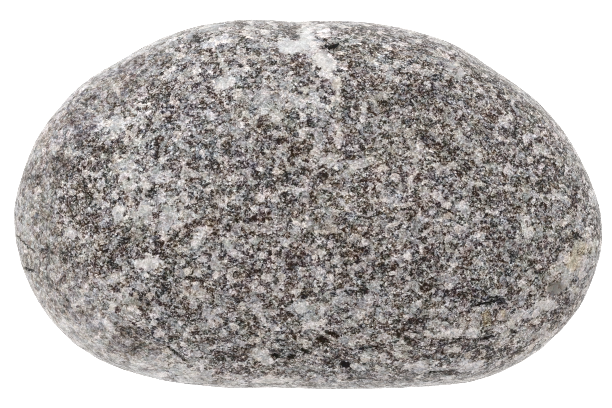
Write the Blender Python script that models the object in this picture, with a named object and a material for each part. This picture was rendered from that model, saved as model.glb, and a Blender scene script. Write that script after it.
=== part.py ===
"""A water-worn pebble of fine-grained grey gneiss: one solid, lying on its broad side.

Metres, +Z up. X runs along the stone and Y across it. The origin is on the ground, under the middle
of the stone's box. The surface is a ball stretched to the stone's rim, crown and belly, and then
worn: broad flats, hollows and swells, and the small flat spot underneath that it rests on.
"""

import math

import bmesh
import bpy
import numpy as np
from mathutils import Vector, noise

NAME = "pebble"
MM = 0.001

# The rim is the widest line round the stone, seen from above, in metres from the middle of its
# box and counter-clockwise from the right end. It is 72 mm long and 45 mm wide.
RIM = MM * np.array([
    (36.2, -1.6), (34.7, 3.8), (31.6, 9.2), (28.0, 13.2), (23.4, 16.5), (18.4, 19.8), (12.6, 21.7),
    (6.0, 22.7), (-1.5, 22.7), (-8.5, 23.0), (-16.1, 21.4), (-22.9, 18.0), (-27.1, 15.5),
    (-31.2, 11.4), (-34.0, 6.9), (-36.2, 0.0), (-35.4, -7.0), (-31.9, -13.6), (-26.1, -18.5),
    (-18.4, -21.3), (-10.6, -22.2), (-2.5, -22.3), (5.5, -22.4), (13.0, -22.2), (21.0, -21.4),
    (28.0, -18.1), (33.1, -12.9), (35.9, -6.6),
])
RIM_STEPS = 16  # straight steps between two points of the rim

# The body above and below the rim. A fullness of 2 is an ellipse, and more is squarer.
CROWN_HEIGHT = 16.6 * MM
CROWN_FULLNESS = 2.35
BELLY_DEPTH = 14.6 * MM
BELLY_FULLNESS = 2.15
LEAN = Vector((0.020, -0.020, 0.0))  # how far the rim rises per metre along X and Y
REST_WEAR = 0.32 * MM  # worn off the lowest point, which leaves the resting spot

# Broad worn flats: bearing from +X and height angle in degrees, and the depth worn off the body.
FLATS = (
    (128, 58, 1.3 * MM),
    (30, 54, 0.6 * MM),
    (184, 48, 1.2 * MM),
    (262, 54, 0.8 * MM),
    (322, 54, 0.6 * MM),
    (70, 82, 0.6 * MM),
    (338, -54, 0.8 * MM),
    (150, -52, 1.1 * MM),
    (66, -44, 1.0 * MM),
    (236, -50, 1.1 * MM),
)
FLAT_EDGE = 24  # how crisply a flat meets the body

# Hollows and swells: bearing and height angle of the middle, breadth, and height outwards.
HOLLOWS_AND_SWELLS = (
    (92, 14, 3.0 * MM, -0.25 * MM),  # notch in the far edge
    (104, 40, 6.0 * MM, 0.35 * MM),  # swell above the notch
    (38, 30, 8.0 * MM, -0.30 * MM),  # long flat of the right shoulder
    (172, 38, 7.5 * MM, -0.40 * MM),
    (232, 32, 7.0 * MM, 0.40 * MM),
    (312, 35, 6.5 * MM, 0.35 * MM),
    (340, 62, 9.0 * MM, 0.30 * MM),
    (200, 72, 8.0 * MM, -0.25 * MM),
    (250, -38, 7.0 * MM, -0.45 * MM),
    (20, -42, 8.0 * MM, 0.40 * MM),
)

# Gentle unevenness all over, which fades out towards the rim.
LUMP_SIZE = 11.0 * MM
LUMP_HEIGHT = 0.45 * MM
LUMP_SEED = Vector((3.7, 1.2, 8.4))

BALL_SUBDIVISIONS = 5
HALF_SIDES = MM * np.array((36.0, 22.6, 15.4))
EVEN_SPREAD = 2 / 3  # the power of the half sides that makes the triangles equal in size

STONE_COLOUR = (0.235, 0.218, 0.210, 1.0)
STONE_ROUGHNESS = 0.62


def start_empty():
    for old in list(bpy.data.objects):
        bpy.data.objects.remove(old)


def smooth_closed(points, steps):
    """Points of the smooth closed curve (Catmull-Rom) through the given ones."""
    before, after, beyond = (np.roll(points, shift, axis=0) for shift in (1, -1, -2))
    t = np.linspace(0, 1, steps, endpoint=False)[:, None, None]
    curve = 0.5 * (
        2 * points
        + (after - before) * t
        + (2 * before - 5 * points + 4 * after - beyond) * t**2
        + (3 * points - before - 3 * after + beyond) * t**3
    )
    return curve.transpose(1, 0, 2).reshape(-1, 2)


def unit(bearing, height_angle):
    """The unit vector at a bearing from +X and an angle above the rim, in degrees."""
    bearing, height_angle = math.radians(bearing), math.radians(height_angle)
    across = math.cos(height_angle)
    return np.array((across * math.cos(bearing), across * math.sin(bearing), math.sin(height_angle)))


def body_reach(ways):
    """How far the unworn body reaches from the middle of its rim, along each unit vector."""
    rim = smooth_closed(RIM, RIM_STEPS)
    rim_reach = np.interp(
        np.arctan2(ways[:, 1], ways[:, 0]),
        np.arctan2(rim[:, 1], rim[:, 0]),
        np.hypot(rim[:, 0], rim[:, 1]),
        period=2 * math.pi,
    )
    above = ways[:, 2] > 0
    height = np.where(above, CROWN_HEIGHT, BELLY_DEPTH)
    fullness = np.where(above, CROWN_FULLNESS, BELLY_FULLNESS)
    outwards = np.hypot(ways[:, 0], ways[:, 1]) / rim_reach
    upwards = np.abs(ways[:, 2]) / height
    return (outwards**fullness + upwards**fullness) ** (-1 / fullness)


def flattened(ways, reach):
    """The reach along each unit vector once the broad flats are worn off the body."""
    places = ways * reach[:, None]
    closeness = reach**-FLAT_EDGE
    for bearing, height_angle, depth in FLATS:
        facing = unit(bearing, height_angle)
        distance = (places @ facing).max() - depth
        closeness += (np.maximum(ways @ facing, 0) / distance) ** FLAT_EDGE
    return closeness ** (-1 / FLAT_EDGE)


def worn_places(ways):
    """The stone's surface along each unit vector, with its flats, hollows, swells and unevenness."""
    places = ways * flattened(ways, body_reach(ways))[:, None]
    outwards = np.zeros(len(ways))
    for bearing, height_angle, breadth, height in HOLLOWS_AND_SWELLS:
        middle = places[np.argmax(ways @ unit(bearing, height_angle))]
        gap = np.linalg.norm(places - middle, axis=1)
        outwards += height * np.exp(-((gap / breadth) ** 2))
    lumps = [noise.noise(Vector(place) / LUMP_SIZE + LUMP_SEED) for place in places]
    outwards += LUMP_HEIGHT * np.array(lumps) * np.abs(ways[:, 2]) ** 0.5
    return places + ways * outwards[:, None]


def stone_mesh():
    shape = bmesh.new()
    bmesh.ops.create_icosphere(shape, subdivisions=BALL_SUBDIVISIONS, radius=1)
    ways = np.array([vertex.co for vertex in shape.verts]) * HALF_SIDES**EVEN_SPREAD
    ways /= np.linalg.norm(ways, axis=1)[:, None]
    for vertex, place in zip(shape.verts, worn_places(ways)):
        vertex.co = place
        vertex.co.z += LEAN.dot(vertex.co)

    low = [min(vertex.co[axis] for vertex in shape.verts) for axis in range(3)]
    high = [max(vertex.co[axis] for vertex in shape.verts) for axis in range(3)]
    middle_low = Vector(((low[0] + high[0]) / 2, (low[1] + high[1]) / 2, low[2] + REST_WEAR))
    bmesh.ops.translate(shape, vec=-middle_low, verts=shape.verts)

    everything = shape.verts[:] + shape.edges[:] + shape.faces[:]
    ground = bmesh.ops.bisect_plane(
        shape, geom=everything, plane_co=(0, 0, 0), plane_no=(0, 0, 1), clear_inner=True
    )
    cut_edges = [part for part in ground["geom_cut"] if isinstance(part, bmesh.types.BMEdge)]
    bmesh.ops.contextual_create(shape, geom=cut_edges)
    bmesh.ops.recalc_face_normals(shape, faces=shape.faces)

    mesh = bpy.data.meshes.new(NAME)
    shape.to_mesh(mesh)
    shape.free()
    mesh.shade_smooth()
    return mesh


def stone_material():
    material = bpy.data.materials.new("grey gneiss")
    material.use_nodes = True
    surface = material.node_tree.nodes["Principled BSDF"]
    surface.inputs["Base Color"].default_value = STONE_COLOUR
    surface.inputs["Roughness"].default_value = STONE_ROUGHNESS
    surface.inputs["Metallic"].default_value = 0.0
    return material


def main():
    start_empty()
    collection = bpy.data.collections.new(NAME)
    bpy.context.scene.collection.children.link(collection)
    stone = bpy.data.objects.new(NAME, stone_mesh())
    stone.data.materials.append(stone_material())
    collection.objects.link(stone)


main()
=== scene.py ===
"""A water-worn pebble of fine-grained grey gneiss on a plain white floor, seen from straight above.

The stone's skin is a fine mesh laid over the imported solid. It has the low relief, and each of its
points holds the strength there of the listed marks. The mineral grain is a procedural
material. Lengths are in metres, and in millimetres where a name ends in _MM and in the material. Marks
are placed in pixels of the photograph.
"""

import math

import bmesh
import bpy
import numpy as np
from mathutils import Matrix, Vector, noise
from mathutils.bvhtree import BVHTree


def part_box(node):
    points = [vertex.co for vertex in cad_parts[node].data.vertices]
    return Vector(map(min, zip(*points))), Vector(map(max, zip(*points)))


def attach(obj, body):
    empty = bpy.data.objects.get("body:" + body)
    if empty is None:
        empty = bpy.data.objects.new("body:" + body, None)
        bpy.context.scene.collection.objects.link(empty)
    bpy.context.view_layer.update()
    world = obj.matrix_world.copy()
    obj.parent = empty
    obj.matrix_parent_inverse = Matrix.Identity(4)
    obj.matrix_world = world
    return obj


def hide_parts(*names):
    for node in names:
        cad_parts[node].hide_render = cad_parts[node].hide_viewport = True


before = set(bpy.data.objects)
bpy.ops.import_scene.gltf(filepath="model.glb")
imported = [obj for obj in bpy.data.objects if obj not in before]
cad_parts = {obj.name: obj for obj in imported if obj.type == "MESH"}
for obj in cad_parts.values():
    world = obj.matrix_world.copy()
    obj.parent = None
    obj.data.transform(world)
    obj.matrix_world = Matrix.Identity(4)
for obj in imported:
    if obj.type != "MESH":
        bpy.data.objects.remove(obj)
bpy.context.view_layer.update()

MM = 0.001

# The photograph: its size and the stone's middle in pixels, and a pixel's width at the stone's rim.
PHOTO_SIZE = (612, 408)
STONE_MIDDLE = (307.0, 203.5)
PIXEL_MM = 0.12308
PIXEL = PIXEL_MM * MM

# The camera looks straight down, from this height over the rim.
LENS = 150.0
SENSOR = 36.0
RIM_HEIGHT = 14.7 * MM
CAMERA_RISE = PHOTO_SIZE[0] * PIXEL * LENS / SENSOR
CAMERA_CLIP = (0.01, 10.0)
FILTER_WIDTH = 1.0  # in pixels, because the photograph is sharp

# The white room: a floor, a bright surrounding and one soft window.
FLOOR_HALF = 2.0
FLOOR_DROP = 0.05 * MM  # how far the floor lies under the stone's resting spot
FLOOR_COLOUR = (0.86, 0.86, 0.86, 1.0)
FLOOR_SPECKLE_SCALE = 40.0
FLOOR_ROUGHNESS = (0.75, 0.9)
WHITE = (1.0, 1.0, 1.0, 1.0)
WALL_STRENGTH = 1.0
CEILING_STRENGTH = 0.62
WINDOW_PLACE = Vector((-0.25, 0.45, 0.60))
WINDOW_TARGET = Vector((0, 0, 0.015))
WINDOW_SIZE = 0.5
WINDOW_POWER = 2.8

# The skin: a ball made of six square grids, spread so that its faces are alike in size.
GRID = 128
HALF_SIDES_MM = np.array((36.0, 22.6, 15.4))
EVEN_SPREAD = 2 / 3
WELD_GAP = 0.001 * MM
BODY_SUBDIVISIONS = 2
MAP_GAP = 0.006  # the margin of each half of the stone in its map

# The relief: layers of smooth noise, each with its height, the size of its lumps and its seed. The
# last is drawn out along the stone's grain.
UNEVENNESS_MM = (
    (0.100, 6.0, 1),
    (0.050, 2.3, 2),
    (0.034, 1.05, 3),
    (0.026, 0.62, 4),
    (0.040, (9.0, 1.5, 1.7), 5),
)
SEED_SHIFT = np.array((7.1, 3.7, 5.3))  # how far apart in the noise two seeds look
REST_FADE = 0.9 * MM  # the relief grows from nothing at the ground to full at this height

# Small pits, one at each point of a loose net, and only in some fields of the stone. The rims are the
# distances from a pit's middle at which it starts to rise and ends, as a share of the net's spacing.
PIT_SPACING_MM = 1.6
PIT_SHIFT = 3.1
PIT_RIMS = (0.12, 0.34)
PIT_DEPTH_MM = 0.16
PIT_FIELD_SIZE_MM = 2.6
PIT_FIELD_SEED = 6
PIT_FIELD_EDGES = (0.15, 0.45)

# The height that a mark of strength 1 adds, and the greatest strength that counts.
MARK_RELIEF_MM = (("dark", -0.12, 2), ("pits", -0.50, 1), ("pale", 0.02, 2))

# Where a mark starts and stops fading, in half widths from its middle, and how far noise shifts that.
# The noise has layers, each with its height, the size of its lumps in millimetres and its seed.
MARK_EDGES = (0.55, 1.25)
MARK_RAGGEDNESS = 0.45
RAGGED_LAYERS = ((0.6, 0.9, 11), (0.6, 0.45, 12))

# The same for the slits, cracks and black pits in the material. The fine warp makes them ragged.
FINE_MARK_EDGES = (0.6, 1.3)
FINE_MARK_RAGGEDNESS = 1.7
FINE_MARK_LEAST = 0.45  # the strength in the darkest small grains, and it is 1 more in the palest

# How far a face looks up where the marks fade in, and where the paler flanks end. 1 is straight up.
# The flanks are paler and plainer in colour, partly as wear and partly as painted sheen.
SEEN_EDGES = (0.10, 0.35)
FLANK_WEAR_AND_SHEEN_EDGES = (0.15, 0.80)

# The grains and lumps to a millimetre of each random pattern, and the detail of the smooth ones.
PLAIN_GRAINS = {"dust": 7.0, "small": 4.0}
WARPED_GRAINS = {"middling": 2.5, "large": 1.2, "flake": 2.8}
CLOUDS = {"patches": (0.42, 3.0), "broad": (0.11, 2.0)}
CLOUD_ROUGHNESS = 0.6
MIDDLE = 0.5  # the middle of a random number from 0 to 1
DRAWN_OUT = (0.90, 1.08, 1.0)  # the grains are a little longer along the stone than across it
FINE_WARP = (2.6, 1.5, 0.55)  # lumps to a millimetre, detail, and reach in millimetres
WIDE_WARP = (0.42, 1.0, 1.2)

# The tone of each mineral, from 0 for the darkest grains to 1 for the palest.
MATRIX_TONES = (0.263, 0.513)
CRYSTAL_TONE = 0.668
SMOOTH_TONE = 0.41
MILKY_TONE = 0.86
PATCH_MIDDLE = 0.3  # patches with a higher random number are paler

# The random numbers between which a grain of the matrix turns from dark to pale, a large grain turns
# into a crystal, and a flake starts to show. Wear widens the second by twice the haze.
MATRIX_EDGE = (0.2, 0.8)
CRYSTAL_EDGE = (0.58, 0.70)
CRYSTAL_HAZE = 0.12
FLAKE_EDGE = (0.78, 0.84)
MOST_EVEN = 0.85  # the most of its small grain's contrast that a place may lose

# The lightness on the screen of tones 0 and 1, from 0, black, to 1, white.
LEVELS = (0.133, 0.905)
SCREEN_GAMMA = 2.2
DARKEST = (0.03, 0.03, 0.03)

# How much more red than green, and green than blue, a grain is at tone 0, how much less it is at tone 1,
# and how much it differs from grain to grain.
RED_OVER_GREEN = 0.0385
RED_LOSS = 0.0275
RED_SWING = 0.037
REDDEST_TONE = 0.33  # darker grains are no redder than this one
GREEN_OVER_BLUE = 0.0165
BLUE_LOSS = 0.0095
BLUE_SWING = 0.033
SHARED_SWING = 0.36  # the part of the difference in red that shows in blue too
RED_SHARE = 0.30  # of a colour's lightness
BLUE_SHARE = 0.11

ROUGHNESS_TONES = (0.1, 0.9)
ROUGHNESS = (0.42, 0.66)
BUMP_STRENGTH = 0.26
BUMP_DISTANCE = 0.06 * MM

# Marks on the upper side, placed in the photograph's pixels. A spot has its middle, half width
# and strength, and a stroke has its two ends, half width and strength. First, the paler places.
PALE_MARKS = (
    # broad pale places
    (190, 55, 290, 50, 16, 0.30), (560, 262, 14, 0.6), (400, 165, 440, 196, 16, 0.35),
    (120, 190, 165, 196, 12, 0.4), (200, 122, 245, 120, 14, 0.35), (80, 300, 130, 304, 14, 0.5),
    (200, 268, 10, 0.5), (320, 300, 12, 0.35), (440, 308, 10, 0.4), (120, 118, 16, 0.3),
    (130, 158, 14, 0.3), (520, 338, 10, 0.3), (168, 178, 178, 180, 6, 0.9), (184, 196, 186, 200, 5, 0.8),
    (126, 214, 176, 222, 12, 0.45), (70, 232, 6, 0.9), (242, 144, 5, 0.8), (352, 164, 372, 162, 5, 0.7),
    (386, 205, 396, 202, 6, 0.7), (320, 252, 5.5, 0.9), (426, 222, 444, 226, 6, 0.7), (571, 246, 8, 0.6),
    (564, 292, 584, 262, 10, 0.3), (302, 118, 6, 0.7), (466, 72, 6, 0.5), (222, 84, 234, 80, 5, 0.6),
    (104, 142, 112, 138, 7, 0.6), (165, 366, 8, 0.5), (500, 168, 520, 174, 3.5, 0.6),
    (28, 242, 36, 256, 8, 0.3), (187, 292, 4.5, 0.8), (46, 312, 90, 348, 7, 0.5),
    (90, 348, 160, 374, 7, 0.5), (160, 376, 300, 386, 6, 0.35), (110, 62, 190, 28, 7, 0.3),
    (182, 78, 6, 0.6), (324, 38, 12, 0.2), (320, 142, 10, 0.4),
    # the white vein and the seam below it
    (284, 47, 300, 46, 7, 1.2), (304, 30, 311, 46, 8, 0.9), (322, 31, 326, 35, 6, 0.5),
    (319, 56, 329, 65, 7.5, 1.3), (324, 74, 336, 84, 6, 0.6), (337, 72, 339, 124, 1.8, 0.8),
    (339, 124, 338, 147, 3.2, 1.1), (332, 157, 321, 163, 3, 1.2),
    # upper left
    (100, 120, 5, 1.3), (118, 124, 7, 1.0), (108, 130, 8, 0.5), (130, 112, 148, 108, 6, 0.6),
    (137, 142, 3.5, 1.4), (153, 168, 159, 180, 3.5, 1.2), (124, 166, 142, 180, 8, 0.7),
    (130, 185, 6, 0.5), (208, 44, 228, 37, 4.5, 1.2), (224, 84, 5.5, 1.7), (231, 80, 214, 82, 3, 0.8),
    (155, 72, 2.5, 1.0), (170, 77, 4, 0.7), (115, 92, 4, 0.7), (54, 148, 4, 1.0), (47, 184, 4.5, 0.8),
    (91, 173, 2.5, 1.0), (160, 130, 180, 146, 3.5, 0.8), (210, 116, 4.5, 0.9), (186, 50, 4, 0.6),
    (198, 70, 4, 0.6), (228, 104, 4.5, 0.7),
    # upper middle
    (262, 108, 278, 117, 5, 1.2), (262, 92, 330, 100, 10, 0.45), (240, 126, 3.5, 0.9), (250, 144, 4, 0.9),
    (281, 150, 4, 1.0), (303, 133, 3, 0.7), (313, 152, 3, 0.7), (371, 63, 387, 67, 2.6, 1.0),
    (252, 183, 3, 1.1), (212, 180, 234, 177, 3.5, 0.7), (262, 197, 5, 0.8), (300, 191, 5, 0.8),
    (238, 200, 3.5, 0.8),
    # upper right
    (455, 70, 8, 0.7), (459, 113, 2.5, 1.3), (480, 90, 2.5, 0.9), (470, 147, 484, 154, 4, 0.9),
    (509, 119, 4, 0.9), (525, 138, 3, 0.8), (536, 152, 546, 148, 5.5, 0.7), (546, 199, 562, 196, 4, 1.0),
    (592, 192, 595, 205, 3.5, 0.9), (434, 194, 4, 0.6), (413, 150, 421, 147, 5, 0.6),
    # lower left
    (118, 212, 7, 1.2), (144, 209, 6, 1.3), (170, 213, 163, 228, 6, 1.0), (196, 244, 5, 1.2),
    (201, 230, 6, 0.7), (138, 264, 157, 263, 4.5, 1.4), (114, 278, 5, 0.7), (150, 283, 6, 0.4),
    (196, 285, 5, 0.9), (112, 303, 4, 1.2), (128, 312, 4, 1.0), (100, 317, 110, 326, 4, 1.2),
    (66, 322, 84, 330, 6, 0.8), (98, 340, 108, 334, 6, 0.7), (176, 346, 196, 352, 5, 0.7),
    (134, 364, 162, 358, 5, 0.9), (172, 368, 208, 370, 5.5, 0.8), (98, 247, 4.5, 0.6), (56, 262, 4, 0.6),
    # lower middle
    (229, 245, 6, 1.1), (254, 242, 3.5, 1.2), (285, 242, 4.5, 1.2), (295, 228, 3.5, 1.0),
    (309, 224, 3.5, 0.8), (358, 231, 3.5, 0.9), (407, 257, 3.2, 1.5), (322, 277, 3.8, 1.0),
    (302, 307, 7, 1.2), (320, 313, 4, 0.9), (311, 325, 5, 0.9), (263, 319, 269, 325, 2.6, 1.3),
    (255, 353, 268, 361, 5, 1.4), (222, 333, 3.2, 1.1), (280, 328, 3.2, 0.9),
    (352, 366, 363, 368, 2.4, 2.0), (296, 291, 3, 1.2), (366, 357, 386, 359, 5.5, 0.7),
    (381, 333, 4, 0.8), (398, 353, 4.5, 0.8), (357, 318, 4, 0.7), (230, 378, 320, 379, 4.5, 0.5),
    # lower right
    (525, 219, 529, 233, 6, 0.8), (480, 236, 4, 0.7), (451, 275, 4, 0.7), (526, 287, 532, 288, 2.2, 1.8),
    (537, 305, 549, 303, 4.5, 1.1), (522, 312, 509, 323, 3.5, 1.3), (506, 336, 5, 0.8),
    (417, 305, 412, 311, 3.5, 1.0), (428, 333, 478, 332, 3.6, 0.9), (420, 365, 462, 363, 4.5, 0.8),
    (462, 363, 482, 361, 3.2, 0.6), (448, 348, 458, 349, 4.5, 0.8), (470, 318, 475, 336, 3.5, 0.7),
    (474, 307, 490, 308, 1.8, 0.8), (530, 332, 548, 336, 5, 0.6), (568, 274, 588, 250, 10, 0.45),
    (534, 308, 554, 305, 4, 0.9), (522, 314, 536, 314, 3.5, 0.7), (593, 193, 593, 202, 4, 0.6),
)

# Small patches a little paler than the grain round them.
PALE_PATCHES = (
    # all over
    (250, 214, 256, 208, 5, 0.6), (226, 70, 222, 62, 4, 0.5), (230, 102, 4, 0.5), (256, 118, 4, 0.5),
    (150, 190, 136, 188, 4, 0.4), (136, 220, 4, 0.4), (190, 220, 4, 0.5), (146, 268, 156, 276, 4, 0.5),
    (128, 316, 5, 0.4), (420, 84, 4, 0.5), (392, 96, 4, 0.5), (345, 205, 4, 0.4), (332, 148, 4, 0.4),
    (382, 156, 4, 0.4), (112, 140, 126, 130, 4, 0.4), (470, 275, 490, 280, 6, 0.3), (520, 96, 5, 0.5),
    # left half, from the top down
    (200, 30, 214, 28, 5, 0.4), (245, 25, 270, 30, 6, 0.3), (272, 72, 280, 80, 6, 0.6),
    (150, 68, 151, 78, 4, 0.4), (180, 79, 5, 0.5), (116, 85, 8, 0.6), (64, 100, 84, 84, 5, 0.4),
    (228, 84, 232, 98, 6, 0.5), (296, 100, 302, 112, 6, 0.4), (261, 116, 5, 0.7), (176, 136, 5, 0.4),
    (190, 148, 5, 0.5), (244, 148, 5.5, 0.6), (143, 160, 6, 0.7), (95, 174, 5, 0.7),
    (216, 168, 218, 176, 4.5, 0.5), (170, 181, 6, 0.6), (181, 194, 183, 214, 4, 0.5),
    (233, 186, 235, 204, 4, 0.5), (135, 216, 6, 0.4), (153, 229, 5, 0.4), (200, 226, 201, 254, 7, 0.6),
    (28, 222, 34, 254, 7, 0.3), (70, 234, 86, 240, 6, 0.7), (228, 248, 246, 260, 5, 0.5),
    (215, 262, 217, 280, 6, 0.7), (256, 270, 268, 294, 5, 0.5), (150, 270, 143, 286, 6, 0.7),
    (74, 282, 112, 284, 5, 0.4), (36, 284, 52, 300, 8, 0.3), (280, 294, 294, 292, 6, 0.7),
    (189, 290, 191, 300, 5, 0.4), (156, 310, 164, 316, 6, 0.7), (206, 312, 218, 318, 6, 0.7),
    (220, 322, 221, 334, 5, 0.7), (94, 326, 102, 324, 6, 0.6), (186, 332, 194, 342, 5, 0.5),
    (264, 352, 5, 0.4), (204, 362, 212, 356, 5, 0.6), (174, 362, 182, 370, 9, 0.6),
    # right half, from the top down
    (322, 40, 5, 0.4), (341, 52, 6, 0.6), (435, 62, 6, 0.6), (382, 78, 404, 78, 5, 0.7),
    (392, 88, 4.5, 0.4), (350, 84, 6, 0.7), (322, 86, 5, 0.4), (464, 72, 472, 92, 5, 0.5),
    (456, 96, 4, 0.4), (474, 116, 488, 108, 5.5, 0.7), (364, 102, 363, 122, 4.5, 0.5), (544, 134, 5, 0.5),
    (304, 150, 328, 162, 5, 0.6), (328, 162, 352, 170, 5, 0.6), (354, 168, 372, 162, 4.5, 0.5),
    (383, 154, 5, 0.5), (418, 156, 5, 0.6), (516, 178, 524, 176, 4, 0.5), (552, 172, 5.5, 0.4),
    (381, 178, 378, 196, 4, 0.6), (306, 187, 5, 0.6), (414, 200, 4.5, 0.5), (388, 211, 5, 0.5),
    (460, 206, 478, 214, 5, 0.7), (464, 226, 4.5, 0.4), (560, 204, 562, 214, 4.5, 0.6),
    (541, 219, 5, 0.5), (586, 222, 592, 240, 9, 0.6), (572, 252, 584, 248, 8, 0.4), (464, 251, 5, 0.6),
    (517, 252, 5, 0.7), (324, 255, 5, 0.6), (483, 268, 6, 0.7), (352, 274, 362, 266, 4, 0.5),
    (405, 275, 5, 0.6), (467, 282, 4, 0.4), (544, 280, 568, 272, 6, 0.3), (381, 297, 5, 0.6),
    (436, 298, 450, 302, 4, 0.4), (416, 309, 5, 0.6), (300, 310, 324, 314, 7, 0.7),
    (306, 332, 326, 334, 6, 0.8), (342, 326, 5, 0.5), (508, 330, 528, 316, 4.5, 0.7), (432, 334, 5, 0.4),
    (472, 330, 476, 340, 6, 0.5), (530, 352, 542, 346, 6, 0.6), (398, 350, 404, 360, 5, 0.7),
    (412, 368, 422, 364, 5, 0.6), (381, 370, 5, 0.6), (470, 368, 482, 364, 4.5, 0.5), (334, 382, 5, 0.4),
)

# Small patches a little darker than the grain round them.
DARK_PATCHES = (
    # all over
    (296, 153, 308, 155, 6, 0.7), (299, 243, 301, 256, 5, 0.5), (305, 271, 6, 0.5),
    (425, 138, 440, 146, 7, 0.5), (488, 158, 499, 180, 4, 0.5), (587, 222, 7, 0.6), (136, 62, 6, 0.4),
    (133, 78, 140, 92, 4.5, 0.6), (90, 348, 5, 0.5), (204, 222, 190, 234, 4, 0.5), (222, 201, 4, 0.5),
    (248, 312, 258, 326, 3.5, 0.6), (196, 370, 5, 0.5), (222, 360, 5, 0.4), (322, 358, 334, 365, 4, 0.6),
    (298, 356, 4, 0.5), (322, 228, 334, 240, 5, 0.4), (104, 272, 118, 268, 4, 0.5), (138, 260, 4, 0.5),
    (338, 112, 346, 138, 5, 0.4), (350, 158, 362, 162, 4, 0.4), (28, 183, 40, 182, 4, 0.5),
    (52, 160, 60, 180, 4, 0.4), (74, 200, 74, 222, 4, 0.4),
    # left half, from the top down
    (298, 24, 295, 38, 6, 0.8), (230, 50, 264, 52, 4, 0.5), (139, 60, 7, 0.4), (300, 72, 306, 68, 6, 0.8),
    (260, 86, 5, 0.7), (160, 88, 170, 88, 4.5, 0.7), (168, 106, 176, 118, 6, 0.7),
    (118, 104, 134, 112, 4.5, 0.6), (222, 108, 228, 118, 4.5, 0.7), (74, 122, 82, 134, 8, 0.4),
    (216, 135, 5, 0.7), (222, 146, 228, 162, 4, 0.4), (278, 146, 284, 140, 4.5, 0.6), (125, 150, 5, 0.6),
    (165, 150, 4.5, 0.6), (292, 150, 298, 154, 4.5, 0.6), (54, 162, 60, 170, 6, 0.6),
    (190, 164, 200, 168, 4.5, 0.6), (80, 174, 4, 0.4), (296, 174, 310, 172, 4.5, 0.6),
    (254, 174, 258, 184, 5, 0.6), (114, 188, 4.5, 0.5), (97, 191, 4.5, 0.6), (275, 190, 4.5, 0.6),
    (146, 198, 156, 188, 7, 0.7), (200, 200, 220, 192, 6, 0.7), (302, 196, 302, 212, 4, 0.6),
    (244, 219, 268, 216, 5.5, 0.8), (48, 220, 56, 230, 6, 0.6), (227, 229, 5.5, 0.6),
    (188, 228, 174, 242, 6, 0.8), (216, 236, 212, 250, 4, 0.7), (132, 238, 122, 252, 7, 0.7),
    (160, 246, 164, 262, 5, 0.7), (140, 258, 5, 0.6), (184, 256, 198, 266, 4.5, 0.7), (62, 261, 5.5, 0.7),
    (237, 275, 5, 0.8), (130, 279, 5, 0.7), (162, 282, 174, 294, 7, 0.8), (304, 294, 312, 284, 6, 0.8),
    (134, 292, 140, 306, 4.5, 0.7), (206, 298, 5, 0.7), (88, 296, 4, 0.4), (96, 304, 5, 0.6),
    (70, 303, 4.5, 0.4), (272, 310, 282, 305, 4.5, 0.7), (286, 334, 296, 330, 4.5, 0.6),
    (254, 336, 250, 360, 4, 0.5), (200, 348, 210, 342, 4, 0.5), (86, 350, 5, 0.5),
    (262, 376, 270, 368, 4.5, 0.5), (296, 376, 312, 384, 6, 0.7),
    # right half, from the top down
    (360, 36, 366, 24, 5, 0.7), (402, 50, 428, 53, 4.5, 0.6), (344, 66, 358, 64, 4, 0.6),
    (478, 78, 488, 90, 3.5, 0.6), (452, 85, 4.5, 0.5), (402, 96, 411, 90, 4.5, 0.6),
    (342, 100, 356, 97, 4, 0.5), (380, 104, 390, 110, 5.5, 0.8), (468, 105, 4.5, 0.6),
    (322, 111, 4.5, 0.7), (503, 111, 6, 0.8), (436, 110, 452, 118, 4, 0.6),
    (344, 122, 352, 114, 4.5, 0.6), (464, 125, 4.5, 0.6), (392, 127, 4.5, 0.5), (315, 128, 4.5, 0.6),
    (480, 135, 494, 136, 4, 0.6), (410, 136, 4.5, 0.6), (432, 138, 5, 0.7),
    (367, 138, 371, 150, 4.5, 0.7), (524, 152, 536, 142, 4.5, 0.6), (554, 154, 4.5, 0.6),
    (352, 157, 5, 0.7), (490, 158, 5, 0.6), (444, 160, 5.5, 0.7), (576, 168, 4.5, 0.6),
    (466, 172, 4, 0.5), (419, 180, 6.5, 0.7), (322, 176, 338, 186, 6, 0.8), (365, 182, 365, 196, 4, 0.7),
    (475, 190, 5.5, 0.6), (530, 186, 552, 193, 5, 0.5), (446, 198, 4.5, 0.5), (577, 198, 5, 0.6),
    (363, 210, 5.5, 0.7), (425, 213, 5, 0.6), (335, 219, 4.5, 0.7), (451, 220, 4.5, 0.5),
    (416, 234, 430, 235, 4.5, 0.6), (488, 240, 504, 240, 4.5, 0.6), (366, 251, 5, 0.6),
    (342, 258, 345, 276, 5, 0.7), (414, 262, 434, 257, 5.5, 0.8), (550, 262, 560, 252, 5, 0.7),
    (392, 268, 5, 0.6), (509, 274, 5, 0.7), (348, 294, 364, 284, 4.5, 0.6),
    (422, 290, 434, 284, 4.5, 0.6), (474, 290, 474, 308, 4.5, 0.6), (522, 300, 4, 0.5),
    (500, 308, 5, 0.6), (429, 318, 4, 0.6), (457, 325, 5, 0.7), (352, 340, 364, 328, 4.5, 0.7),
    (534, 334, 5, 0.4), (402, 338, 418, 342, 4.5, 0.7), (464, 346, 480, 352, 4.5, 0.6),
    (387, 356, 5, 0.7), (324, 360, 5, 0.5), (342, 354, 348, 372, 6.5, 0.7), (500, 366, 5, 0.4),
    (440, 378, 452, 372, 4.5, 0.6), (398, 378, 412, 379, 4.5, 0.6), (360, 381, 5, 0.6),
)

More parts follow.
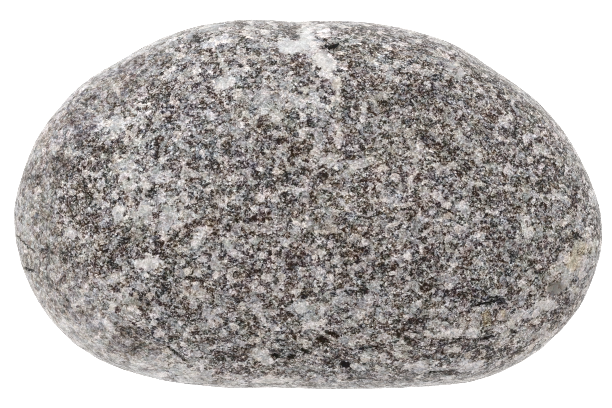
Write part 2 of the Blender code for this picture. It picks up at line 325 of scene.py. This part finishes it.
# The darker places.
DARK_MARKS = (
    # broad dark places
    (240, 228, 14, 0.5), (362, 262, 17, 0.6), (360, 228, 12, 0.4), (240, 160, 12, 0.3),
    (596, 175, 597, 235, 6, 0.6), (320, 84, 12, 0.25), (400, 338, 12, 0.35), (120, 266, 10, 0.3),
    (480, 122, 14, 0.3), (140, 60, 6, 0.5), (122, 72, 6, 0.5), (208, 62, 212, 56, 6, 0.7),
    (236, 93, 4, 0.5), (166, 100, 5, 0.7), (196, 88, 5, 0.7), (226, 146, 232, 152, 6, 0.8),
    (158, 242, 6, 0.7), (123, 246, 5, 0.7), (150, 193, 5, 0.9), (76, 198, 5, 0.9),
    (50, 164, 58, 188, 5, 0.5), (165, 288, 6, 0.7), (262, 244, 272, 256, 8, 0.5), (226, 228, 4.5, 0.7),
    (200, 198, 5, 0.7), (268, 188, 5, 0.9), (256, 174, 5, 0.7), (274, 150, 5, 0.7), (250, 348, 5, 0.7),
    (348, 154, 5, 0.8), (418, 178, 6, 0.9), (428, 140, 440, 150, 5, 0.7), (437, 112, 5, 0.8),
    (450, 84, 454, 88, 5, 0.7), (405, 93, 5, 0.5), (425, 208, 4, 0.9), (446, 198, 4, 0.8),
    (392, 266, 4.5, 0.6), (424, 286, 434, 282, 5, 0.6), (498, 306, 4, 0.3), (472, 356, 6, 0.4),
    (342, 366, 350, 370, 4, 0.3), (502, 184, 520, 186, 3.5, 0.6), (536, 172, 540, 162, 3.5, 0.6),
    (424, 50, 5, 0.5), (382, 50, 4, 0.5), (345, 93, 6, 0.5), (300, 26, 7, 0.4), (254, 130, 5, 0.6),
    (492, 208, 4, 0.6), (552, 256, 6, 0.4),
    # upper left
    (22, 178, 40, 176, 2.4, 1.2), (60, 158, 76, 170, 5, 0.8), (82, 184, 90, 197, 5, 1.1),
    (112, 106, 5, 0.8), (126, 85, 3.5, 1.0), (157, 147, 155, 160, 3, 1.0), (168, 120, 4, 0.8),
    (186, 100, 3, 0.9), (203, 101, 3.2, 1.0), (208, 133, 4.5, 1.0), (212, 162, 3.5, 0.8),
    (190, 181, 201, 180, 4, 0.9), (135, 201, 4, 0.8), (73, 115, 3.5, 0.8), (84, 103, 93, 99, 3.5, 0.8),
    (95, 152, 122, 144, 4, 0.5), (62, 199, 4, 0.8), (180, 68, 3, 0.9), (195, 38, 206, 42, 4, 0.7),
    # upper middle
    (330, 48, 337, 44, 2.2, 0.9), (323, 40, 327, 47, 2.6, 0.9), (339, 50, 5, 0.4),
    (285, 27, 292, 33, 5, 0.7), (241, 24, 4.5, 1.0), (371, 50, 379, 45, 2.5, 1.0), (278, 141, 3.5, 1.2),
    (258, 147, 263, 153, 2.5, 1.0), (303, 172, 3.5, 1.1), (323, 175, 5, 0.9),
    (364, 150, 378, 150, 2.2, 0.9), (392, 160, 4, 0.6), (310, 125, 4, 0.8), (285, 58, 4, 0.7),
    (290, 160, 297, 150, 2.6, 0.8), (240, 185, 250, 188, 4, 0.7),
    # upper right
    (440, 95, 420, 100, 7, 0.5), (410, 88, 4, 0.7), (404, 104, 5, 0.8), (461, 119, 3, 1.1),
    (478, 131, 489, 128, 3.5, 0.5), (499, 112, 3.5, 0.9), (516, 123, 515, 136, 2.6, 1.1),
    (452, 156, 6, 0.8), (452, 171, 3, 0.9), (476, 199, 5.5, 1.0), (541, 184, 6, 0.7),
    (536, 207, 546, 208, 2.5, 0.9), (575, 190, 574, 204, 4.5, 0.7), (510, 221, 3.2, 1.3),
    (404, 191, 4, 0.9), (408, 218, 4.5, 0.8), (547, 163, 555, 166, 2.5, 0.8), (525, 150, 3.5, 0.7),
    # lower left
    (40, 252, 47, 248, 2.6, 1.4), (47, 253, 72, 254, 2.2, 1.0), (66, 262, 3.5, 0.8), (89, 220, 3.5, 1.0),
    (95, 232, 120, 227, 3.5, 0.6), (126, 240, 3.5, 1.1), (103, 248, 113, 257, 4, 0.9),
    (108, 263, 119, 269, 3, 1.2), (115, 288, 3.2, 1.3), (142, 299, 150, 306, 4.5, 0.8),
    (166, 276, 3.8, 1.4), (187, 278, 197, 279, 2.2, 1.4), (66, 303, 3.8, 0.9), (128, 333, 7, 0.7),
    (135, 350, 8, 0.7), (167, 338, 174, 337, 2.3, 1.1), (196, 328, 4, 1.0), (211, 341, 5.5, 0.8),
    (162, 325, 4.5, 0.7), (214, 360, 224, 356, 5, 0.8),
    # lower middle
    (289, 257, 295, 270, 5.5, 0.55), (304, 297, 3.5, 1.3), (282, 312, 292, 314, 3, 0.9),
    (268, 305, 4, 0.9), (294, 337, 3.5, 0.9), (232, 357, 5, 0.7), (255, 269, 4, 0.7),
    (360, 292, 368, 291, 3.2, 1.2), (359, 252, 3.2, 1.1), (334, 237, 340, 236, 4, 0.9),
    (344, 219, 4, 0.7), (381, 267, 5, 0.8), (238, 287, 3.5, 0.7), (283, 356, 10, 0.4),
    # lower right
    (412, 322, 427, 320, 4.5, 1.3), (401, 331, 4.5, 1.1), (430, 250, 4.5, 0.8), (428, 268, 4.5, 0.8),
    (428, 290, 4.5, 0.9), (447, 293, 464, 295, 3.5, 1.0), (485, 292, 3.5, 0.9),
    (509, 251, 513, 258, 2.6, 1.4), (510, 236, 4, 0.7), (530, 261, 537, 272, 3, 0.8),
    (561, 242, 578, 235, 3, 1.1), (424, 357, 446, 349, 3, 0.9), (486, 335, 490, 334, 3.0, 0.7),
    (491, 356, 4, 0.7), (507, 348, 518, 352, 3, 0.7), (446, 373, 456, 374, 2.8, 1.0),
    (556, 313, 566, 308, 5, 0.7), (556, 288, 8, 0.5),
)

# The worn left flank, where the grain is faint and pale. Below 0, at the right end, it is strong and
# dark.
WORN_MARKS = (
    (150, 58, 66, 126, 21, 1), (66, 126, 34, 196, 22, 1), (34, 196, 38, 262, 22, 1),
    (38, 262, 84, 322, 25, 1), (84, 322, 150, 360, 21, 1), (597, 178, 599, 236, 12, -1),
)

# Milky quartz: the white vein, and milky places elsewhere.
MILKY_MARKS = (
    (285, 47, 297, 47, 7.5, 1.0), (305, 33, 309, 47, 7.5, 0.8), (319, 58, 329, 65, 7, 1.0),
    (323, 75, 333, 78, 5, 0.4), (118, 212, 8, 0.5), (146, 209, 7, 0.5), (118, 124, 8, 0.5),
    (224, 84, 7, 0.6), (276, 118, 6, 0.4), (302, 307, 7, 0.5), (138, 264, 157, 263, 5, 0.5),
    (540, 304, 552, 303, 6, 0.5), (434, 334, 470, 333, 5, 0.3),
)

# Smooth grey places with little grain.
SMOOTH_MARKS = (
    (455, 70, 9, 0.2), (553, 290, 559, 287, 6, 0.9), (574, 272, 590, 246, 13, 0.1),
)

# Ochre stains.
OCHRE_MARKS = (
    (573, 264, 579, 248, 8, 0.9), (486, 314, 487, 322, 4.5, 1.1), (503, 310, 503, 316, 2.2, 0.8),
    (590, 246, 6, 0.2),
)

# Broad places with a warmer hue, or with a cooler one where the strength is below 0.
WARM_MARKS = (
    (330, 240, 440, 160, 60, 0.7), (338, 78, 338, 150, 6, 1.5), (560, 290, 40, 0.9), (545, 335, 45, 1.3),
    (70, 325, 40, 1.1), (255, 280, 45, 0.3), (555, 195, 35, -1.0), (160, 50, 50, -0.5),
    (140, 110, 90, -1.0), (250, 60, 60, -0.7), (430, 60, 90, -0.6), (110, 350, 170, 360, 35, -0.7),
    (30, 215, 35, -0.5),
)

# Slits, cracks and black pits, each with its two ends, half width and strength. The skin is sunk
# there, and the material is darker, partly its own dark and partly painted shade in the hollows.
FINE_MARKS = (
    (498, 300, 504, 300, 2.2, 0.8), (476, 305, 489, 303, 1.3, 0.9), (492, 301, 496, 302, 1.4, 0.8),
    (488, 298, 497, 297, 1.1, 0.7), (499, 304, 506, 303, 1.3, 0.7), (481, 340, 492, 337, 1.8, 0.9),
    (452, 339, 480, 339, 0.7, 0.5), (430, 372, 452, 371, 0.8, 0.5), (512, 331, 514, 332, 2.2, 0.8),
    (274, 356, 276, 356, 2.6, 1.0), (290, 357, 292, 356, 2.3, 1.0), (320, 338, 326, 342, 3.2, 0.9),
    (326, 332, 338, 337, 1.8, 0.8), (302, 350, 311, 353, 1.8, 0.9), (343, 364, 348, 365, 3.0, 0.9),
    (358, 349, 379, 346, 1.1, 0.6), (168, 347, 183, 359, 1.2, 0.7), (18, 237, 34, 252, 0.9, 0.6),
    (24, 268, 33, 271, 1.5, 0.8), (331, 48, 334, 46.5, 2.0, 1.0), (335, 46, 338, 44, 1.3, 0.9),
    (324, 39, 326, 41, 0.8, 0.7), (326, 46, 329, 48, 0.8, 0.7),
)

MARKS = {
    "pale": PALE_MARKS + PALE_PATCHES,
    "dark": DARK_MARKS + DARK_PATCHES,
    "milky": MILKY_MARKS,
    "smooth": SMOOTH_MARKS,
    "ochre": OCHRE_MARKS,
    "warm": WARM_MARKS,
    "pits": FINE_MARKS,
}


def smoothstep(low, high, value):
    """0 up to the low value, 1 from the high one, and smooth between them."""
    t = np.clip((value - low) / (high - low), 0, 1)
    return t * t * (3 - 2 * t)


def lumps(points_mm, size_mm, seed):
    """Smooth noise from about -1 to 1 at each point. A size may be one number or one for each axis."""
    return np.array([noise.noise(Vector(p)) for p in points_mm / np.array(size_mm) + SEED_SHIFT * seed])


def layered_lumps(points_mm, layers):
    """The sum of layers of smooth noise, each with its height, size and seed."""
    return sum(height * lumps(points_mm, size_mm, seed) for height, size_mm, seed in layers)


def ball_ways(grid):
    """Unit vectors over a ball of six square grids, and its faces as rows of four indices."""
    along = np.tan(np.linspace(-1, 1, grid + 1) * math.pi / 4)
    first, second = np.meshgrid(along, along, indexing="ij")
    ways, faces = [], []
    corner = np.arange((grid + 1) ** 2).reshape(grid + 1, grid + 1)
    square = np.stack([corner[:-1, :-1], corner[1:, :-1], corner[1:, 1:], corner[:-1, 1:]], -1)
    for axis in range(3):
        for sign in (1, -1):
            side = np.empty((grid + 1, grid + 1, 3))
            side[..., axis] = sign
            side[..., (axis + 1) % 3] = first
            side[..., (axis + 2) % 3] = second
            turned = square[..., ::sign].reshape(-1, 4)
            faces.append(turned + len(ways) * corner.size)
            ways.append(side.reshape(-1, 3))
    ways, faces = np.concatenate(ways), np.concatenate(faces)
    _, kept, index = np.unique(np.round(ways, 6), axis=0, return_index=True, return_inverse=True)
    ways = ways[kept]
    return ways / np.linalg.norm(ways, axis=1)[:, None], index.reshape(-1)[faces]


def smooth_body(node):
    """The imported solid, subdivided smooth, as a tree that rays can be cast at."""
    shape = bmesh.new()
    shape.from_mesh(node.data)
    bmesh.ops.remove_doubles(shape, verts=shape.verts, dist=WELD_GAP)
    mesh = bpy.data.meshes.new("smooth_body")
    shape.to_mesh(mesh)
    shape.free()
    helper = bpy.data.objects.new("smooth_body", mesh)
    bpy.context.scene.collection.objects.link(helper)
    rounding = helper.modifiers.new("rounding", "SUBSURF")
    rounding.levels = rounding.render_levels = BODY_SUBDIVISIONS
    body = BVHTree.FromObject(helper, bpy.context.evaluated_depsgraph_get())
    bpy.data.objects.remove(helper)
    bpy.data.meshes.remove(mesh)
    return body


def body_places(body, ball):
    """Where the smooth body is met along each way of the ball from its centre, once spread evenly."""
    ways = ball * HALF_SIDES_MM**EVEN_SPREAD
    ways /= np.linalg.norm(ways, axis=1)[:, None]
    low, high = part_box("pebble")
    centre = (low + high) / 2
    return np.array([body.ray_cast(centre, Vector(way))[0] for way in ways])


def even_normals(places, faces):
    """The normal at each point, as the mean of those of the faces round it."""
    first = places[faces[:, 2]] - places[faces[:, 0]]
    second = places[faces[:, 3]] - places[faces[:, 1]]
    facing = np.cross(first, second)
    total = np.zeros_like(places)
    for corner in range(4):
        np.add.at(total, faces[:, corner], facing)
    return total / np.linalg.norm(total, axis=1)[:, None]


def photo_pixels(places):
    """Where the camera sees each place, in the photograph's pixels."""
    depth = CAMERA_RISE + RIM_HEIGHT - places[:, 2]
    scale = CAMERA_RISE / depth / PIXEL
    return np.stack([STONE_MIDDLE[0] + places[:, 0] * scale, STONE_MIDDLE[1] - places[:, 1] * scale], 1)


def place_of(body, x, y):
    """The place on the stone that the camera sees at a pixel."""
    eye = Vector((0, 0, RIM_HEIGHT + CAMERA_RISE))
    aim = Vector(((x - STONE_MIDDLE[0]) * PIXEL, (STONE_MIDDLE[1] - y) * PIXEL, RIM_HEIGHT))
    return body.ray_cast(eye, aim - eye)[0]


def stroke_share(pixels, ragged, start, end, half_width):
    """1 in the middle of a stroke, and 0 outside its ragged edge. A spot starts and ends in one place."""
    start, end = np.array(start, float), np.array(end, float)
    run = end - start
    share = np.clip((pixels - start) @ run / (run @ run or 1), 0, 1)
    gap = np.linalg.norm(pixels - start - share[:, None] * run, axis=1)
    return 1 - smoothstep(*MARK_EDGES, gap / half_width + MARK_RAGGEDNESS * ragged)


def marks_total(marks, pixels, ragged):
    """The sum of the marks at each pixel."""
    total = np.zeros(len(pixels))
    for *ends, half_width, strength in marks:
        total += strength * stroke_share(pixels, ragged, ends[:2], ends[-2:], half_width)
    return total


def mark_strengths(places, normals):
    """The strength at each place of the marks and of the flanks, and how well the camera sees it. The
    flanks' paler colour is partly wear and partly painted sheen.
    """
    pixels = photo_pixels(places)
    ragged = layered_lumps(places / MM, RAGGED_LAYERS)
    upwards = normals[:, 2]
    seen = smoothstep(*SEEN_EDGES, upwards)
    strengths = {name: marks_total(marks, pixels, ragged) * seen for name, marks in MARKS.items()}
    strengths["worn"] = np.minimum(marks_total(WORN_MARKS, pixels, ragged), 1) * (upwards > 0)
    # The steep flanks: paler and plainer colour, partly wear and partly painted sheen.
    strengths["flank"] = 1 - smoothstep(*FLANK_WEAR_AND_SHEEN_EDGES, np.abs(upwards))
    strengths["seen"] = seen
    return strengths


def relief_of(places, strengths):
    """The height that is added to the smooth body along its normals."""
    points_mm = places / MM
    height = layered_lumps(points_mm, UNEVENNESS_MM)
    gaps = np.array([noise.voronoi(Vector(p))[0][0] for p in points_mm / PIT_SPACING_MM + PIT_SHIFT])
    chosen = smoothstep(*PIT_FIELD_EDGES, lumps(points_mm, PIT_FIELD_SIZE_MM, PIT_FIELD_SEED))
    height -= PIT_DEPTH_MM * chosen * (1 - smoothstep(*PIT_RIMS, gaps))
    for name, mark_height, most in MARK_RELIEF_MM:
        height += mark_height * np.clip(strengths[name], 0, most)
    return height * MM * smoothstep(0, REST_FADE, places[:, 2])


def rect_of(ways):
    """Unit vectors of one half of a ball, laid out on a square from -1 to 1, equal areas throughout."""
    radius = np.sqrt(np.clip(1 - np.abs(ways[:, 2]), 0, 1))
    angle = np.arctan2(ways[:, 1], ways[:, 0])
    quarter = np.floor((angle + math.pi / 4) / (math.pi / 2))
    within = (angle - quarter * math.pi / 2) * 4 / math.pi
    near, far = radius, radius * within
    turn = quarter.astype(int) % 4
    x = np.choose(turn, [near, -far, -near, far])
    y = np.choose(turn, [far, near, -far, -near])
    return np.stack([x, y], 1)


def add_map(mesh, ball, faces):
    """A map with the upper half of the stone over the lower one, and a narrow gap between them."""
    laid = rect_of(ball)
    upper = ball[faces].mean(axis=1)[:, 2] > 0
    across = 0.5 + laid[:, 0] * (0.5 - MAP_GAP)
    along = laid[:, 1] * (0.25 - MAP_GAP)
    places = np.stack([across[faces], along[faces] + np.where(upper, 0.75, 0.25)[:, None]], -1)
    layer = mesh.uv_layers.new(name="OFBake")
    layer.uv.foreach_set("vector", places.reshape(-1).astype(np.float32))


def build_skin(body):
    """The stone's outside, laid over the smooth body, with its relief, its marks and its map."""
    ball, faces = ball_ways(GRID)
    places = body_places(body, ball)
    normals = even_normals(places, faces)
    strengths = mark_strengths(places, normals)
    places = places + normals * relief_of(places, strengths)[:, None]
    places[:, 2] = np.maximum(places[:, 2], 0)

    mesh = bpy.data.meshes.new("skin")
    mesh.from_pydata(places.tolist(), [], faces.tolist())
    mesh.shade_smooth()
    for name, values in strengths.items():
        made = mesh.attributes.new(name, "FLOAT", "POINT")
        made.data.foreach_set("value", values.astype(np.float32))
    add_map(mesh, ball, faces)
    skin = bpy.data.objects.new("stone_skin", mesh)
    bpy.context.scene.collection.objects.link(skin)
    return skin


class Nodes:
    """Adds nodes to a material or world. A value is a plain one, or the output of another node."""

    def __init__(self, owner):
        owner.use_nodes = True
        self.tree = owner.node_tree
        self.tree.nodes.clear()

    def add(self, kind, values, output=0, **settings):
        """One output of a new node, or the node itself where it has none."""
        made = self.tree.nodes.new("ShaderNode" + kind)
        for name, value in settings.items():
            setattr(made, name, value)
        for key, value in values.items():
            if isinstance(value, bpy.types.NodeSocket):
                self.tree.links.new(value, made.inputs[key])
            else:
                made.inputs[key].default_value = value
        return made.outputs[output] if made.outputs else made

    def maths(self, operation, *values):
        return self.add("Math", dict(enumerate(values)), operation=operation)

    def plus(self, first, *others):
        """The sum of all the values."""
        for other in others:
            first = self.maths("ADD", first, other)
        return first

    def weigh(self, values, middle=0.0, **weights):
        """The sum of (value - middle) * weight over the named values that have a weight."""
        total = 0.0
        for name, weight in weights.items():
            total = self.maths("MULTIPLY_ADD", self.maths("SUBTRACT", values[name], middle), weight, total)
        return total

    def capped(self, value, most, weight):
        """The value times its weight, with the value counted up to a limit."""
        return self.maths("MULTIPLY", self.maths("MINIMUM", value, most), weight)

    def less(self, value, loss, start=1.0):
        """The start where the value is 0, and less by the loss where it is 1."""
        return self.maths("MULTIPLY_ADD", value, -loss, start)

    def blend(self, share, first, second):
        return self.add("Mix", {"Factor": share, "A": first, "B": second})

    def step(self, value, low, high):
        values = {"Value": value, "From Min": low, "From Max": high}
        return self.add("MapRange", values, interpolation_type="SMOOTHSTEP")

    def between(self, value, low, high):
        """From the low number where the value is 0 to the high one where it is 1."""
        return self.add("MapRange", {"Value": value, "To Min": low, "To Max": high})

    def vector(self, operation, first, second):
        return self.add("VectorMath", {0: first, 1: second}, operation=operation)

    def times(self, vector, factor):
        return self.add("VectorMath", {0: vector, "Scale": factor}, operation="SCALE")

    def parts(self, colour):
        """The three numbers of a colour."""
        return self.add("SeparateColor", {"Color": colour}).node.outputs[:]

    def cells(self, place, scale):
        """Three random numbers from 0 to 1 for each grain, with this many grains to a millimetre."""
        return self.parts(self.add("TexVoronoi", {"Vector": place, "Scale": scale}, output="Color"))

    def cloud(self, place, scale, detail):
        """Three smooth random numbers about 0.5, with this many lumps to a millimetre."""
        values = {"Vector": place, "Scale": scale, "Detail": detail, "Roughness": CLOUD_ROUGHNESS}
        return self.add("TexNoise", values, output="Color")

    def warp(self, place, scale, detail, reach):
        """A smooth random shift of up to half the reach."""
        shift = self.vector("SUBTRACT", self.cloud(place, scale, detail), (MIDDLE, MIDDLE, MIDDLE))
        return self.times(shift, reach)

    def stroke(self, place, start, end, half_width):
        """1 on the line between two places, whatever their heights, and 0 outside its half width."""
        start, run = Vector((*start.xy, 0)), Vector((*(end - start).xy, 0))
        away = self.vector("SUBTRACT", place, tuple(start))
        along = self.add("VectorMath", {0: away, 1: tuple(run)}, output=1, operation="DOT_PRODUCT")
        share = self.add("Clamp", {"Value": self.maths("DIVIDE", along, run.length_squared)})
        nearest = self.times(tuple(run), share)
        gap = self.add("VectorMath", {0: away, 1: nearest}, output=1, operation="DISTANCE")
        return self.step(gap, half_width * FINE_MARK_EDGES[1], half_width * FINE_MARK_EDGES[0])


def random_numbers(t, mm, fine_warp):
    """Random numbers from 0 to 1 for each pattern, in three sets: for the tone, the red and the blue."""
    drawn_out = t.vector("MULTIPLY", mm, DRAWN_OUT)
    warped = t.vector("ADD", t.vector("ADD", drawn_out, fine_warp), t.warp(mm, *WIDE_WARP))
    found = {name: t.cells(mm, scale) for name, scale in PLAIN_GRAINS.items()}
    found |= {name: t.cells(warped, scale) for name, scale in WARPED_GRAINS.items()}
    found |= {name: t.parts(t.cloud(drawn_out, *size)) for name, size in CLOUDS.items()}
    return [{name: numbers[place] for name, numbers in found.items()} for place in range(3)]


def fine_marks(t, body, mm, fine_warp, tones, seen):
    """The strength of the slits, cracks and black pits, whose darker colour is partly their own and partly
    painted shade, with ragged edges and speckled by the grain.
    """
    ragged = t.vector("ADD", mm, t.times(fine_warp, FINE_MARK_RAGGEDNESS))
    ragged = t.vector("MULTIPLY", ragged, (1, 1, 0))
    strongest = 0.0
    for x0, y0, x1, y1, half_width, strength in FINE_MARKS:
        start, end = place_of(body, x0, y0) / MM, place_of(body, x1, y1) / MM
        share = t.stroke(ragged, start, end, half_width * PIXEL_MM)
        strongest = t.maths("MAXIMUM", strongest, t.maths("MULTIPLY", share, strength))
    speckle = t.plus(tones["small"], FINE_MARK_LEAST)
    return t.maths("MULTIPLY", strongest, t.maths("MULTIPLY", seen, speckle))


def grain_tone(t, marks, tones, reds):
    """The tone of the grains: pale crystals in a matrix of fine mixed grains, with dark flakes."""
    unplaced = t.less(marks["seen"], loss=0.6)
    drift = t.maths("MULTIPLY", t.weigh(tones, MIDDLE, patches=1.1, broad=0.7), unplaced)
    drift = t.plus(drift, t.weigh(marks, pale=0.45, dark=-0.38))
    hazy = t.maths("MAXIMUM", marks["worn"], 0.0)
    crystal = t.step(
        t.plus(tones["large"], drift),
        t.less(hazy, CRYSTAL_HAZE, start=CRYSTAL_EDGE[0]),
        t.less(hazy, -CRYSTAL_HAZE, start=CRYSTAL_EDGE[1]),
    )
    flake = t.step(t.maths("SUBTRACT", tones["flake"], drift), *FLAKE_EDGE)
    flake = t.maths("MULTIPLY", flake, t.less(crystal, loss=0.7))

    matrix_tone = t.between(t.step(tones["middling"], *MATRIX_EDGE), *MATRIX_TONES)
    # The flank weights paint the steep sides paler and plainer: partly wear, partly painted sheen.
    matrix_tone = t.plus(matrix_tone, t.weigh(marks, worn=0.07, flank=0.03))
    crystal_tone = t.plus(
        CRYSTAL_TONE,
        t.weigh(reds, MIDDLE, large=0.23),
        t.weigh(tones, MIDDLE, middling=0.14),
        t.weigh(marks, flank=-0.03),
    )
    plainer = t.maths("SUBTRACT", 1.0, t.weigh(marks, worn=0.24, flank=0.08))
    tone = t.blend(t.maths("MULTIPLY", crystal, plainer), matrix_tone, crystal_tone)

    evenness = t.plus(
        t.maths("MULTIPLY", crystal, t.less(hazy, loss=0.40, start=0.44)),
        t.capped(marks["pale"], most=1.2, weight=0.14),
        t.weigh(marks, flank=0.38, worn=0.46, smooth=0.6),
    )
    unevenness = t.maths("SUBTRACT", 1.0, t.maths("MINIMUM", evenness, MOST_EVEN))
    tone = t.maths("MULTIPLY_ADD", t.weigh(tones, MIDDLE, small=0.55, dust=0.67), unevenness, tone)

    added = {"flake": flake, "patches": t.maths("MULTIPLY", tones["patches"], unplaced)}
    # The flank weight here adds painted sheen as well as wear.
    tone = t.plus(
        tone,
        t.weigh(added, flake=-0.155),
        t.weigh(added, PATCH_MIDDLE, patches=0.22),
        t.capped(marks["pale"], most=1.0, weight=0.12),
        t.weigh(marks, dark=-0.10, flank=0.08, worn=0.035, ochre=-0.04),
    )
    tone = t.blend(t.weigh(marks, smooth=0.8), tone, SMOOTH_TONE)
    tone = t.blend(t.weigh(marks, milky=0.5), tone, MILKY_TONE)
    # The slits, cracks and black pits darken: partly their own dark, partly painted shade.
    return t.plus(tone, t.weigh(marks, fine=-0.66))


def grain_colour(t, marks, reds, blues, tone):
    """The tone as a colour on the screen, warmer or cooler from grain to grain, and then as light."""
    fade = t.less(tone, loss=0.4, start=1.3)
    # On the flanks the hue swings less and turns less red: partly wear, partly painted sheen.
    fade = t.maths("MULTIPLY", fade, t.less(marks["flank"], loss=0.4))
    fade = t.maths("MULTIPLY", fade, t.less(marks["milky"], loss=0.5))
    red = t.weigh(reds, MIDDLE, small=0.12, middling=0.75, large=0.85, patches=1.7, broad=0.4)
    blue = t.weigh(blues, MIDDLE, small=0.12, middling=0.75, large=0.85, patches=1.7, broad=1.2)
    blue = t.maths("MULTIPLY_ADD", red, SHARED_SWING, blue)
    redder = t.plus(
        t.less(t.maths("MAXIMUM", tone, REDDEST_TONE), RED_LOSS, start=RED_OVER_GREEN),
        t.maths("MULTIPLY", t.maths("MULTIPLY", red, fade), RED_SWING),
        t.weigh(marks, warm=0.004, ochre=0.020, smooth=-0.020, milky=-0.008, flank=-0.006, fine=-0.012),
    )
    yellower = t.plus(
        t.less(tone, BLUE_LOSS, start=GREEN_OVER_BLUE),
        t.maths("MULTIPLY", t.maths("MULTIPLY", blue, fade), BLUE_SWING),
        t.weigh(marks, ochre=0.062, warm=0.006),
    )

    # These shares leave the lightness as it is.
    hues = {"redder": redder, "yellower": yellower}
    level = t.between(tone, *LEVELS)
    red = t.plus(level, t.weigh(hues, redder=1 - RED_SHARE, yellower=BLUE_SHARE))
    green = t.plus(level, t.weigh(hues, redder=-RED_SHARE, yellower=BLUE_SHARE))
    blue = t.plus(level, t.weigh(hues, redder=-RED_SHARE, yellower=BLUE_SHARE - 1))
    on_screen = t.vector("MAXIMUM", t.add("CombineXYZ", {"X": red, "Y": green, "Z": blue}), DARKEST)
    return t.add("Gamma", {"Color": on_screen, "Gamma": SCREEN_GAMMA})


def gneiss(body):
    material = bpy.data.materials.new("gneiss")
    t = Nodes(material)
    mm = t.times(t.add("TexCoord", {}, output="Object"), 1 / MM)
    fine_warp = t.warp(mm, *FINE_WARP)
    tones, reds, blues = random_numbers(t, mm, fine_warp)
    marks = {
        name: t.add("Attribute", {}, output="Fac", attribute_name=name)
        for name in ("pale", "dark", "milky", "smooth", "ochre", "warm", "worn", "flank", "seen")
    }
    marks["fine"] = fine_marks(t, body, mm, fine_warp, tones, marks["seen"])
    tone = grain_tone(t, marks, tones, reds)

    roughness = {
        "Value": tone,
        "From Min": ROUGHNESS_TONES[0],
        "From Max": ROUGHNESS_TONES[1],
        "To Min": ROUGHNESS[0],
        "To Max": ROUGHNESS[1],
    }
    relief = {
        "Height": t.weigh(tones, MIDDLE, small=0.6, dust=0.3, middling=0.6),
        "Strength": BUMP_STRENGTH,
        "Distance": BUMP_DISTANCE,
    }
    surface = {
        "Base Color": grain_colour(t, marks, reds, blues, tone),
        "Roughness": t.add("MapRange", roughness),
        "Normal": t.add("Bump", relief, output="Normal"),
        "IOR": 1.5,
        "Specular IOR Level": 0.06,
        "Sheen Weight": 0.18,
        "Sheen Roughness": 0.35,
    }
    t.add("OutputMaterial", {"Surface": t.add("BsdfPrincipled", surface)})
    return material


def white_floor():
    material = bpy.data.materials.new("white_floor")
    t = Nodes(material)
    speckle = t.add("TexNoise", {"Scale": FLOOR_SPECKLE_SCALE})
    surface = {
        "Base Color": FLOOR_COLOUR,
        "Roughness": t.between(speckle, *FLOOR_ROUGHNESS),
        "Emission Color": WHITE,
        "Emission Strength": 1.0,
    }
    t.add("OutputMaterial", {"Surface": t.add("BsdfPrincipled", surface)})
    return material


def add_floor():
    signs = ((-1, -1), (1, -1), (1, 1), (-1, 1))
    corners = [(x * FLOOR_HALF, y * FLOOR_HALF, -FLOOR_DROP) for x, y in signs]
    mesh = bpy.data.meshes.new("floor")
    mesh.from_pydata(corners, [], [(0, 1, 2, 3)])
    floor = bpy.data.objects.new("floor", mesh)
    floor.data.materials.append(white_floor())
    bpy.context.scene.collection.objects.link(floor)


def add_window():
    """One large soft lamp, behind the stone and to its left."""
    data = bpy.data.lights.new("window", "AREA")
    data.shape = "DISK"
    data.size = WINDOW_SIZE
    data.energy = WINDOW_POWER
    lamp = bpy.data.objects.new("window", data)
    lamp.location = WINDOW_PLACE
    lamp.rotation_euler = (WINDOW_TARGET - WINDOW_PLACE).to_track_quat("-Z", "Y").to_euler()
    bpy.context.scene.collection.objects.link(lamp)


def add_world():
    """A white room whose walls are brighter than its ceiling."""
    world = bpy.data.worlds.new("white_room")
    t = Nodes(world)
    towards = t.add("TexCoord", {}, output="Generated")
    rise = t.add("SeparateXYZ", {"Vector": towards}, output="Z")
    strength = t.between(rise, WALL_STRENGTH, CEILING_STRENGTH)
    back = t.add("Background", {"Color": WHITE, "Strength": strength})
    t.add("OutputWorld", {"Surface": back})
    bpy.context.scene.world = world


def add_camera():
    """The camera, over the place that is in the middle of the photograph."""
    data = bpy.data.cameras.new("camera")
    data.lens = LENS
    data.sensor_width = SENSOR
    data.clip_start, data.clip_end = CAMERA_CLIP
    camera = bpy.data.objects.new("camera", data)
    offset_x = (PHOTO_SIZE[0] / 2 - STONE_MIDDLE[0]) * PIXEL
    offset_y = (STONE_MIDDLE[1] - PHOTO_SIZE[1] / 2) * PIXEL
    camera.location = (offset_x, offset_y, RIM_HEIGHT + CAMERA_RISE)
    bpy.context.scene.collection.objects.link(camera)
    bpy.context.scene.camera = camera


body = smooth_body(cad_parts["pebble"])
skin = build_skin(body)
skin.data.materials.append(gneiss(body))
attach(skin, "root")
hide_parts("pebble")

add_floor()
add_world()
add_window()
add_camera()
bpy.context.scene.view_settings.view_transform = "Standard"
bpy.context.scene.cycles.use_denoising = False
bpy.context.scene.cycles.filter_width = FILTER_WIDTH
